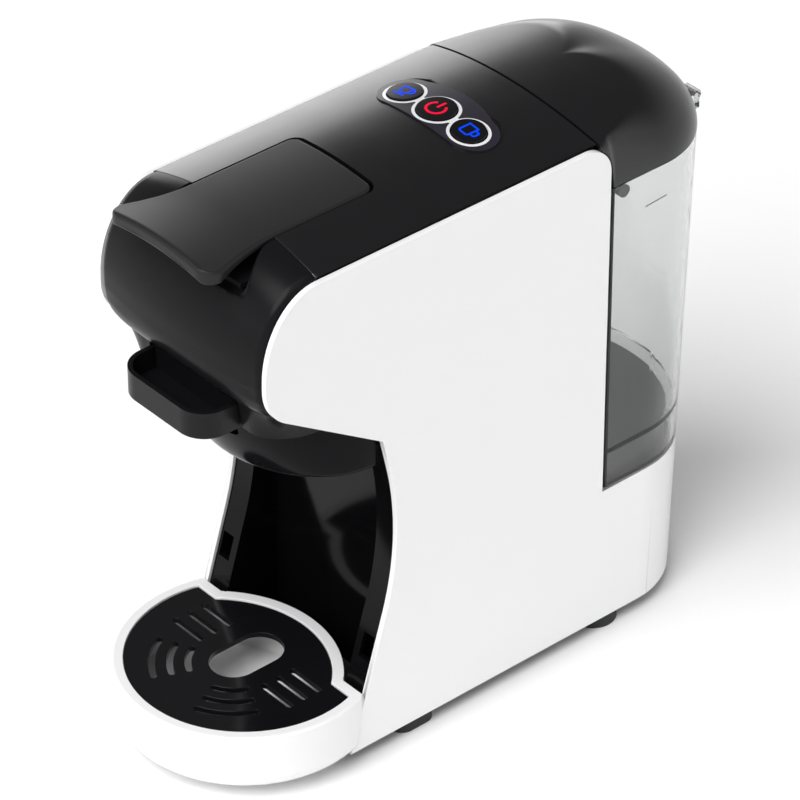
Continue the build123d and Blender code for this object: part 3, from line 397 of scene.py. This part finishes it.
# Top panel and lever well.
# The crowned panel between head and tank lid is glossy black; the well under
# the lever is a matt tray in its opening.
finish("top_panel", **dict(satin_black, Specular_IOR_Level=0.5))
finish("lever_well", (0.01, 0.01, 0.011), 0.4, grain=0.03)
key_middle_y, key_pitch = 18.8, 20.3
side_hole, middle_hole = 8.1, 9.3


def arc(x, y, radius, start, end, steps=24):
    """Points round a circle from one angle to another."""
    return [(x + radius * math.cos(math.radians(start + (end - start) * k / steps)),
             y + radius * math.sin(math.radians(start + (end - start) * k / steps)))
            for k in range(steps + 1)]


panel_front, panel_half, lid_seam, seam_bow = -91.1, 52.3, 61.6, 3.5
across = np.linspace(-panel_half, panel_half, 81)
rear = lid_seam - seam_bow * (1 - (across / 55.0) ** 2)
rows = []
for share in np.concatenate([[0, 0.002], np.linspace(0.01, 0.99, 70), [0.998, 1]]):
    edge = 0.35 * ((share in (0.0, 1.0)) + (np.abs(across) > panel_half - 0.1))
    rows.append(np.stack([across, panel_front + (rear - panel_front) * share,
                          arch_height(across) - np.minimum(edge, 0.35)], 1))
panel = patch_object("top_panel_skin", rows, 2.4, (0, 0, 100), sharp=40.0)
gap_half, gap_front, gap_rear, gap_corners = 26.6, -96.0, -36.4, (0.1, 0.1, 5.6, 5.6)
lever_gap = prism("lever_gap", rounded(-gap_half, gap_front, gap_half, gap_rear, gap_corners, 10),
                  "z", 262, 272,
                  rounded(-gap_half, gap_front, gap_half, gap_rear + 1.7, gap_corners, 10))
cut(panel, lever_gap, *[prism("key_hole", arc(x, key_middle_y, r, 0, 345, 23), "z", 250, 275)
                        for x, r in ((-key_pitch, side_hole), (0.0, middle_hole), (key_pitch, side_hole))])
shade(panel, 40.0)
hand_over(panel, "base", "top_panel", "top_panel")

# Control label, button ring and keys.
# A thin violet-grey label in a shallow dark bead, a white ring of three linked
# circles, and three black keys whose lit signs are set into their caps.
finish("control_label", (0.022, 0.019, 0.029), 0.3, tint=0.06, grain=0.01, Specular_IOR_Level=0.35)
finish("button_bezel", (0.82, 0.82, 0.84), 0.2, tint=0.02, grain=0.004)
for key in ("espresso_button", "power_button", "mug_button"):
    finish(key, (0.007, 0.007, 0.009), 0.22, grain=0.005, Specular_IOR_Level=0.12)
key_crown = 161.6


def ribbon(name, strokes, crown, thickness=0.25, depth=0.25):
    """Flat strokes (closed, width, points in mm) laid on a crowned surface, as closed solids."""
    mesh, build = bpy.data.meshes.new(name), bmesh.new()
    for closed, width, points in strokes:
        points = [Vector(p) for p in points]
        count = len(points)
        edges = []
        for k, point in enumerate(points):
            before = points[k - 1] if closed or k else point * 2 - points[1]
            after = points[(k + 1) % count] if closed or k + 1 < count else point * 2 - points[k - 1]
            first, second = (point - before).normalized(), (after - point).normalized()
            across = Vector((-(first + second).y, (first + second).x)).normalized()
            across *= width / 2 / max(across.dot(Vector((-first.y, first.x))), 0.4)
            edges.append((point + across, point - across))
        rings = []
        for left, right in edges:
            loop = []
            for place, up in ((left, 1), (right, 1), (right, 0), (left, 0)):
                height = float(arch_height(place.x, crown)) + (thickness if up else -depth)
                loop.append(build.verts.new((place.x / 1000, place.y / 1000, height / 1000)))
            rings.append(loop)
        for k in range(count if closed else count - 1):
            a, b = rings[k], rings[(k + 1) % count]
            for j in range(4):
                build.faces.new((a[j], a[(j + 1) % 4], b[(j + 1) % 4], b[j]))
        if not closed:
            build.faces.new(rings[0])
            build.faces.new(rings[-1][::-1])
    bmesh.ops.recalc_face_normals(build, faces=build.faces)
    build.to_mesh(mesh)
    build.free()
    piece = placed(name, mesh)
    return shade(piece, 30.0)


lamp_blue = finish("sign_blue", (0.0, 0.03, 0.5), 0.5, tint=0.06, grain=0.0, Specular_IOR_Level=0.05,
                   Emission_Color=(0.0, 0.06, 0.9, 1), Emission_Strength=0.6)
lamp_red = finish("sign_red", (0.5, 0.0, 0.02), 0.5, tint=0.06, grain=0.0, Specular_IOR_Level=0.05,
                  Emission_Color=(0.9, 0.0, 0.035, 1), Emission_Strength=0.6)
left, right, line = -key_pitch, key_pitch, 0.95
cup_sign = [(True, line, [(left - 3.0, key_middle_y + 3.0), (left - 2.0, key_middle_y - 1.4),
                          (left - 1.2, key_middle_y - 2.0), (left + 1.2, key_middle_y - 2.0),
                          (left + 2.0, key_middle_y - 1.4), (left + 3.0, key_middle_y + 3.0)]),
            (False, line, arc(left + 2.9, key_middle_y + 0.9, 1.7, 100, -110, 12)),
            (False, line, [(left - 3.9, key_middle_y - 3.5), (left + 3.1, key_middle_y - 3.5)])]
power_sign = [(False, 1.25, arc(0, key_middle_y - 0.4, 4.3, 127, 413, 40)),
              (False, 1.25, [(0, key_middle_y + 0.2), (0, key_middle_y + 5.2)])]
mug_sign = [(True, line, [(right - 2.9, key_middle_y + 3.4), (right - 2.9, key_middle_y - 2.4),
                          (right - 2.2, key_middle_y - 3.2), (right + 1.5, key_middle_y - 3.2),
                          (right + 2.2, key_middle_y - 2.4), (right + 2.2, key_middle_y + 3.4)]),
            (False, line, [(right + 2.3, key_middle_y + 1.8), (right + 4.1, key_middle_y + 1.8),
                           (right + 4.6, key_middle_y + 1.2), (right + 4.6, key_middle_y - 0.9),
                           (right + 4.1, key_middle_y - 1.5), (right + 2.3, key_middle_y - 1.5)])]
for sign, strokes, body, lit in (("cup_sign", cup_sign, "left_key", lamp_blue),
                                 ("power_sign", power_sign, "middle_key", lamp_red),
                                 ("mug_sign", mug_sign, "right_key", lamp_blue)):
    mark = ribbon(sign, strokes, key_crown, 0.06)
    mark.data.materials.append(lit)
    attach(mark, body)
label_outline = rounded(-33.0, 7.8, 33.0, 31.5, (11.8, 11.8, 11.8, 11.8), steps=14)
label_outline = [(x, y + (4.0 * (1 - (x / 33.0) ** 2) if y > 19.65 else 0.0)) for x, y in label_outline]
bead = ribbon("label_bead", [(True, 0.7, label_outline)], arch_radius + 0.42, 0.16, 0.5)
bead.data.materials.append(finish("label_bead", (0.008, 0.008, 0.009), 0.2, grain=0.004))
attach(bead, "base")

# Lever.
# A satin dark grey moulding: a slab that follows the crown of the top, flares
# at the front and rolls up into a lip; it turns on a hub between two cheeks.
finish("lever", (0.018, 0.018, 0.019), 0.42, tint=0.06, grain=0.05, size=2200.0, Specular_IOR_Level=0.22)
lever_rear, lever_front = -37.3, -131.6


def loft(name, loops, sharp=40.0):
    """A closed solid through closed loops of points (mm), with a fan over each end."""
    loops = np.asarray(loops, float) / 1000
    count, around = loops.shape[:2]
    mesh, build = bpy.data.meshes.new(name), bmesh.new()
    verts = [[build.verts.new(p) for p in loop] for loop in loops]
    for i in range(count - 1):
        for j in range(around):
            build.faces.new((verts[i][j - 1], verts[i][j], verts[i + 1][j], verts[i + 1][j - 1]))
    for end in (0, -1):
        middle = build.verts.new(Vector(loops[end].mean(0)))
        for j in range(around):
            build.faces.new((verts[end][j - 1], verts[end][j], middle))
    bmesh.ops.remove_doubles(build, verts=build.verts, dist=1e-6)
    bmesh.ops.recalc_face_normals(build, faces=build.faces)
    build.to_mesh(mesh)
    build.free()
    piece = placed(name, mesh)
    return shade(piece, sharp)


def join(name, *pieces):
    """Several closed meshes as one piece."""
    build = bmesh.new()
    for piece in pieces:
        build.from_mesh(piece.data)
        bpy.data.objects.remove(piece)
    mesh = bpy.data.meshes.new(name)
    build.to_mesh(mesh)
    build.free()
    return shade(placed(name, mesh), 40.0)


def lever_half_width(y):
    """Half width of the lever in plan, with its round rear corners and flared lip."""
    flare = np.clip((-93.0 - y) / 31.0, 0, 1)
    width = 25.9 + 7.1 * flare ** 1.7
    if y > lever_rear - 5:
        width -= 5 - math.sqrt(max(25 - (5 - (lever_rear - y)) ** 2, 0.0))
    front = y - lever_front
    if front < 8:
        width -= 8 * (1 - math.sqrt(max(1 - ((8 - front) / 8) ** 2, 0.0)))
    return float(width)


def lever_loop(y, squeeze=1.0):
    """Cross-section of the lever at y: crowned top, rounded edges, flat underside."""
    half = lever_half_width(y)
    rise = np.clip((-96.0 - y) / 36.0, 0, 1)
    crown = 0.8 + 0.25 * rise
    top, under = 268.9 + 2.8 * rise ** 1.8, 264.0 + 0.9 * rise
    middle = (top + under) / 2
    top, under = middle + (top - middle) * squeeze, middle + (under - middle) * squeeze
    edge = min(1.5 + 0.9 * rise, (top - under) / 2.05)

    def fall(x):
        return arch_radius - math.sqrt(arch_radius ** 2 - x * x)

    def low(x):
        return under - crown * rise * fall(x)

    shoulder = top - crown * fall(half - edge)
    foot = min(0.8, (shoulder - edge - low(half)) * 0.8)
    side = []
    for step in range(1, 8):
        turn = math.radians(90 - 90 * step / 8)
        side.append((half - edge + edge * math.cos(turn), shoulder - edge + edge * math.sin(turn)))
    for step in range(5):
        turn = math.radians(-90 * step / 4)
        side.append((half - foot + foot * math.cos(turn), low(half) + foot + foot * math.sin(turn)))
    crowned = [(x, top - crown * fall(x)) for x in np.linspace(-(half - edge), half - edge, 41)]
    flat = [(x, low(x)) for x in np.linspace(half - 1.5, 1.5 - half, 25)]
    return [(x, y, z) for x, z in crowned + side + flat + [(-x, z) for x, z in reversed(side)]]


places = ([(lever_rear - 1.2 * (1 - math.cos(math.radians(a))), 0.55 + 0.45 * math.sin(math.radians(a)))
           for a in range(0, 91, 15)]
          + [(y, 1.0) for y in np.linspace(lever_rear - 1.8, lever_rear - 6, 9)]
          + [(y, 1.0) for y in np.linspace(-46, -92, 24)]
          + [(y, 1.0) for y in np.linspace(-94, lever_front + 2.4, 40)]
          + [(lever_front + 2.2 * (1 - math.sin(math.radians(a))), 0.35 + 0.65 * math.cos(math.radians(a)))
             for a in range(10, 91, 10)])
slab = loft("slab", [lever_loop(y, squeeze) for y, squeeze in places])
pivot_y, pivot_z, hub_radius = -43.5, 261.5, 4.7
ring = [(pivot_y + hub_radius * math.cos(math.radians(a)), pivot_z + hub_radius * math.sin(math.radians(a)))
        for a in range(0, 360, 10)]
parts = [slab]
for side in (-1, 1):
    low, high = sorted((side * 13.0, side * 17.0))
    parts.append(prism("cheek", [(pivot_y + 4.6, 264.5), (pivot_y + 4.7, pivot_z), (-45.8, 254.0),
                                 (-49.5, 252.2), (-53.4, 253.0), (-54.6, 256.4), (-53.5, 264.5)],
                       "x", low, high))
    parts.append(prism("hub", ring, "x", low + 0.2, high - 0.2))
parts.append(prism("hub_middle", ring, "x", -12.8, 12.8))
lever = join("lever_moulding", *parts)
hand_over(lever, "lever_arm", "lever", "lever")

# Pins and links.
# Drawn steel pins and two stamped steel links carry the brew head from the
# lever; the frame and posts that guide it, inside the head, are steel too.
for steel in ("lever_pin", "crank_pins", "lift_link_left", "lift_link_right", "carriage_pins", "needle_plate",
              "brew_frame", "guide_post_left", "guide_post_right", "lid_hinge_pins"):
    finish(steel, (0.6, 0.6, 0.61), 0.28, Metallic=1.0)

# Brew unit, pod drawer, skirt and nozzle.
# Cast metal brew parts with a rubber seal close on a black moulded drawer; the
# glossy black skirt hangs under the head, round the nozzle.
finish("brew_carriage", (0.3, 0.3, 0.32), 0.4, Metallic=1.0)
finish("brew_head", (0.72, 0.72, 0.74), 0.35, Metallic=1.0)
finish("brew_gasket", (0.025, 0.025, 0.025), 0.7)
finish("pod_holder", (0.007, 0.007, 0.008), 0.32, grain=0.02, Specular_IOR_Level=0.2)
finish("nozzle_skirt", **dict(glossy_black, Specular_IOR_Level=0.06))
finish("outlet_nozzle", **glossy_black)
guide_low, guide_high = 184.0, 199.5
guides = []
for x0, x1 in ((-31.6, -29.6), (29.6, 31.6)):
    face = [(x0, guide_low), (x1, guide_low), (x1, guide_high), (x0, guide_high)]
    guides.append(prism("guide", face, "y", -108.5, -92.0))
guides = join("drawer_guides", *guides)
hand_over(guides, "base", "pod_rail_left")
skirt_axis, skirt_low, skirt_high = -58.2, 150.0, 182.7
rows = []
for z, shrink in ([(151.6, 3.0), (150.6, 2.4), (150.1, 1.5), (150.0, 0.9), (150.2, 0.35), (150.7, 0.0)]
                  + [(z, 0.0) for z in np.linspace(151.5, skirt_high, 34)]):
    flare = 15 * max((z - skirt_low) / (skirt_high - skirt_low), 0.0) ** 0.8
    wide, deep = 50.0 + 0.07 * flare - shrink, 40.5 + flare - shrink
    rows.append([(wide * math.cos(math.radians(a)), skirt_axis - 0.3 + deep * math.sin(math.radians(a)), z)
                 for a in np.linspace(180, 360, 91)])
skirt = patch_object("skirt_funnel", rows, 2.2, (0, -58, 170), sharp=50.0)
opening = prism("opening", rounded(-19.5, 170.5, 19.5, 200, (3, 3, 0.1, 0.1)), "y", -125, -70)
cut(skirt, opening)
shade(skirt, 50.0)
hand_over(skirt, "base", "nozzle_skirt")

# Drip tray and its grid.
# The tray is a glossy white moulding hooked to the column; the slotted black
# grid is a loose moulding that lies on the ledge inside its rim.
finish("drip_tray", (0.9, 0.9, 0.9), 0.22, tint=0.01, patch=0.03, grain=0.006)
finish("drip_grid", (0.006, 0.006, 0.007), 0.12, tint=0.05, grain=0.004, Specular_IOR_Level=0.4)
tray_middle_y, tray_round, rim_top, grid_top = -89.2, 58.5, 36.3, 35.5


def tray_rim(a, b):
    """Full rounding on the tray's outer top edge, a little on the inner one."""
    if min(a.z, b.z) < rim_top - 0.1:
        return 0.0
    outside = min(math.hypot(p.x, p.y - tray_middle_y) for p in (a, b)) > tray_round - 0.8
    return 1.0 if outside and max(a.y, b.y) < tray_middle_y + 21 else 0.28


tray = softened("drip_tray", "tray_moulding", 0.0023, tray_rim, segments=5)
hand_over(tray, "tray", "drip_tray", "drip_tray")
grid = softened("drip_grid", "grid_plate", 0.0006,
                lambda a, b: float(min(a.z, b.z) > grid_top - 0.05), segments=3)
hand_over(grid, "grid", "drip_grid", "drip_grid")

# Water tank and lid.
# The tank is one clear moulding with a level line on its side; its crowned
# satin black lid turns on two steel pins in clear lugs at the back.
finish("tank_lid", **dict(satin_black, Specular_IOR_Level=0.5))
lid_wall, body_half, lid_low, lid_front, lid_pole = 2.4, 55.0, 235.9, 62.6, 86.3


def plan_width(offset, z):
    """Half plan outline of the rear, from (55 - offset) at the side to the middle of the back."""
    side, back = body_half - offset, 144.9 - offset + 8.5 * (z - 245) / 238
    big, small = 85.0 - offset, 44.0 - offset
    centre_x = side - small
    centre_y = back - big + math.sqrt((big - small) ** 2 - centre_x ** 2)
    meet = math.atan2(centre_y - (back - big), centre_x)
    outline = [(centre_x + small * math.cos(a), centre_y + small * math.sin(a))
               for a in np.linspace(0, meet, 30)]
    outline += [(big * math.cos(a), back - big + big * math.sin(a))
                for a in np.linspace(meet, math.pi / 2, 30)[1:]]
    return outline, centre_y


def walled(name, spokes, wall):
    """A dome from spokes that run from its rim to its spine, with an inner skin and closed edges."""
    outer = np.asarray(spokes, float)
    turn = np.cross(np.gradient(outer, axis=0), np.gradient(outer, axis=1))
    size = np.linalg.norm(turn, axis=2)
    turn[size < 1e-4] = (0, 0, 1)
    turn /= np.linalg.norm(turn, axis=2)[..., None]
    turn[turn[..., 2] < -0.2] *= -1
    turn[:, -4:] = (0, 0, 1)
    inner = outer - turn * wall
    inner[:, 0, 2] = outer[:, 0, 2]
    inner[0, :, 1] = outer[0, :, 1]
    inner[-1, :, 1] = outer[-1, :, 1]
    count, along_spoke = outer.shape[:2]
    mesh, build = bpy.data.meshes.new(name), bmesh.new()
    skins = [[[build.verts.new(p / 1000) for p in row] for row in skin] for skin in (outer, inner)]
    for skin in skins:
        for i in range(count - 1):
            for j in range(along_spoke - 1):
                build.faces.new((skin[i][j], skin[i + 1][j], skin[i + 1][j + 1], skin[i][j + 1]))
    a, b = skins
    edge = ([(i, 0) for i in range(count)] + [(count - 1, j) for j in range(1, along_spoke)]
            + [(0, j) for j in range(along_spoke - 2, 0, -1)])
    for k, (i, j) in enumerate(edge):
        m, n = edge[(k + 1) % len(edge)]
        build.faces.new((a[i][j], a[m][n], b[m][n], b[i][j]))
    bmesh.ops.remove_doubles(build, verts=build.verts, dist=2e-5)
    bmesh.ops.dissolve_degenerate(build, edges=build.edges, dist=1e-6)
    bmesh.ops.recalc_face_normals(build, faces=build.faces)
    build.to_mesh(mesh)
    build.free()
    piece = placed(name, mesh)
    return shade(piece, 50.0)


half_outline, shoulder_y = plan_width(0.0, 238.0)
lid_side = [(body_half, y) for y in np.linspace(lid_front, shoulder_y, 26)[:-1]]
outline = [Vector((x, y)) for x, y in lid_side + half_outline]
pole, seam_middle = Vector((0, lid_pole)), Vector((0, 59.1))
spokes = []
for rim in outline:
    share = 1 - (1 - min(max((rim.y - lid_front) / 56.0, 0.0), 1.0)) ** 2
    centre = seam_middle.lerp(pole, share)
    low = lid_low
    if rim.y < 68.8:
        low = max(245 + math.sqrt(14.5 ** 2 - (rim.y - 54.3) ** 2), lid_low)
    drop = float(arch_height(rim.x)) - low
    reach = min(4 + 48.5 * max((rim.y - 62) / 78, 0.0) ** 1.5, (rim - centre).length)
    spoke = []
    for step in range(64):
        lean = step / 40 * math.pi / 2
        if step <= 40:
            s_in = reach * (1 - math.cos(lean))
            fallen = drop * (1 - math.sin(lean))
        else:
            s_in = reach + ((rim - centre).length - reach) * (step - 40) / 23
            fallen = 0.0
        place = rim.lerp(centre, s_in / (rim - centre).length)
        bow_in = 3.5 * (1 - (place.x / body_half) ** 2) - 3.5 * (1 - abs(place.x) / body_half)
        place.y -= bow_in * (1 - share) ** 4
        spoke.append((place.x, place.y, float(arch_height(place.x)) - fallen))
    spokes.append(spoke)
mirrored = [[(-x, y, z) for x, y, z in spoke] for spoke in reversed(spokes[:-1])]
lid_rows = spokes + mirrored
lid = walled("lid_dome", lid_rows, lid_wall)
knuckle_ring = [(144.6 + 1.8 * math.cos(math.radians(a)), 237.6 + 1.8 * math.sin(math.radians(a)))
                for a in range(0, 360, 15)]
lid = join("lid_moulding", lid, prism("knuckle", knuckle_ring, "x", -18.4, 18.4))
shade(lid, 50.0)
hand_over(lid, "lid", "tank_lid", "tank_lid")
finish("snap_lug_left", (0.004, 0.004, 0.005), 0.3)
finish("snap_lug_right", (0.004, 0.004, 0.005), 0.3)
finish("tank_body", (0.82, 0.83, 0.83), 0.03, tint=0.02, patch=0.015, size=120.0, grain=0.01,
       Transmission_Weight=1.0, IOR=1.45)
level = [Vector((55.03, 88.8, 218.4)), Vector((55.03, 100.9, 219.3))]
line_mesh, build = bpy.data.meshes.new("level_line"), bmesh.new()
ends = []
for end in level:
    ends.append([build.verts.new((end + Vector(step)) / 1000)
                 for step in ((0, 0, -0.3), (0, 0, 0.3), (-0.4, 0, 0.3), (-0.4, 0, -0.3))])
for k in range(4):
    build.faces.new((ends[0][k], ends[0][k - 1], ends[1][k - 1], ends[1][k]))
build.faces.new(ends[0])
build.faces.new(ends[1][::-1])
bmesh.ops.recalc_face_normals(build, faces=build.faces)
build.to_mesh(line_mesh)
build.free()
level_line = placed("level_line", line_mesh)
line_mesh.materials.append(finish("level_mark", (0.28, 0.28, 0.29), 0.5, grain=0.01))
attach(level_line, "tank")

# Floor, studio light and camera.
# A wide pale floor under big soft lamps and a broad sun, and a long lens that
# looks down on the machine from its front right.
floor_mesh = bpy.data.meshes.new("floor")
floor_mesh.from_pydata([(-8, -8, 0), (8, -8, 0), (8, 8, 0), (-8, 8, 0)], [], [(0, 1, 2, 3)])
floor = placed("floor", floor_mesh)
floor_mesh.materials.append(finish("floor", (0.97, 0.97, 0.97), 0.6, tint=0.004, grain=0.0,
                                   Specular_IOR_Level=0.1))

world = bpy.data.worlds.new("studio")
bpy.context.scene.world = world
world.use_nodes = True
sky = world.node_tree
sky.nodes.clear()
seen, from_height = sky.nodes.new("ShaderNodeLightPath"), sky.nodes.new("ShaderNodeTexCoord")
split, ramp = sky.nodes.new("ShaderNodeSeparateXYZ"), sky.nodes.new("ShaderNodeValToRGB")
sky.links.new(from_height.outputs["Generated"], split.inputs[0])
sky.links.new(split.outputs["Z"], ramp.inputs["Fac"])
ramp.color_ramp.elements[0].position, ramp.color_ramp.elements[0].color = 0.1, (0.8, 0.8, 0.8, 1)
ramp.color_ramp.elements[1].position, ramp.color_ramp.elements[1].color = 0.5, (0.12, 0.12, 0.12, 1)
choose = sky.nodes.new("ShaderNodeMix")
choose.data_type = "RGBA"
sky.links.new(seen.outputs["Is Camera Ray"], choose.inputs["Factor"])
sky.links.new(ramp.outputs[0], choose.inputs["A"])
choose.inputs["B"].default_value = (1, 1, 1, 1)
back = sky.nodes.new("ShaderNodeBackground")
sky.links.new(choose.outputs["Result"], back.inputs["Color"])
sky.links.new(back.outputs[0], sky.nodes.new("ShaderNodeOutputWorld").inputs["Surface"])


def soft_box(name, place, target, size, power):
    """A square soft lamp at that place, turned to the target."""
    light = bpy.data.lights.new(name, "AREA")
    light.shape, light.size, light.energy = "SQUARE", size, power
    lamp = placed(name, light)
    lamp.location = place
    lamp.rotation_euler = (Vector(target) - Vector(place)).to_track_quat("-Z", "Y").to_euler()


soft_box("lamp_over", (0.7, -0.4, 2.0), (0, 0, 0.12), 1.7, 8)
soft_box("lamp_side", (2.3, 0.5, 0.7), (0, 0, 0.12), 1.6, 4.6)
soft_box("lamp_rear", (-2.2, 1.4, 0.5), (0, 0, 0.15), 1.4, 15)
soft_box("lamp_front", (-0.5, -2.3, 0.9), (0, 0, 0.12), 1.4, 4)
overhead = bpy.data.lights.new("ceiling", "SUN")
overhead.energy, overhead.angle = 2.65, math.radians(45)
ceiling = placed("ceiling", overhead)
ceiling.rotation_euler = Vector((0.12, -0.75, 1)).to_track_quat("Z", "Y").to_euler()

camera_data = bpy.data.cameras.new("camera")
camera_data.lens, camera_data.sensor_width = 228.2, 36.0
camera_data.clip_end = 30.0
camera = placed("camera", camera_data)
camera.location = (1.34911, -1.16498, 1.39942)
aim = Vector((0, -0.00145, 0.13009)) - camera.location
camera.rotation_euler = aim.to_track_quat("-Z", "Y").to_euler()
bpy.context.scene.camera = camera
bpy.context.scene.view_settings.view_transform = "Standard"
bpy.context.scene.cycles.max_bounces = 16
bpy.context.scene.cycles.transmission_bounces = 12
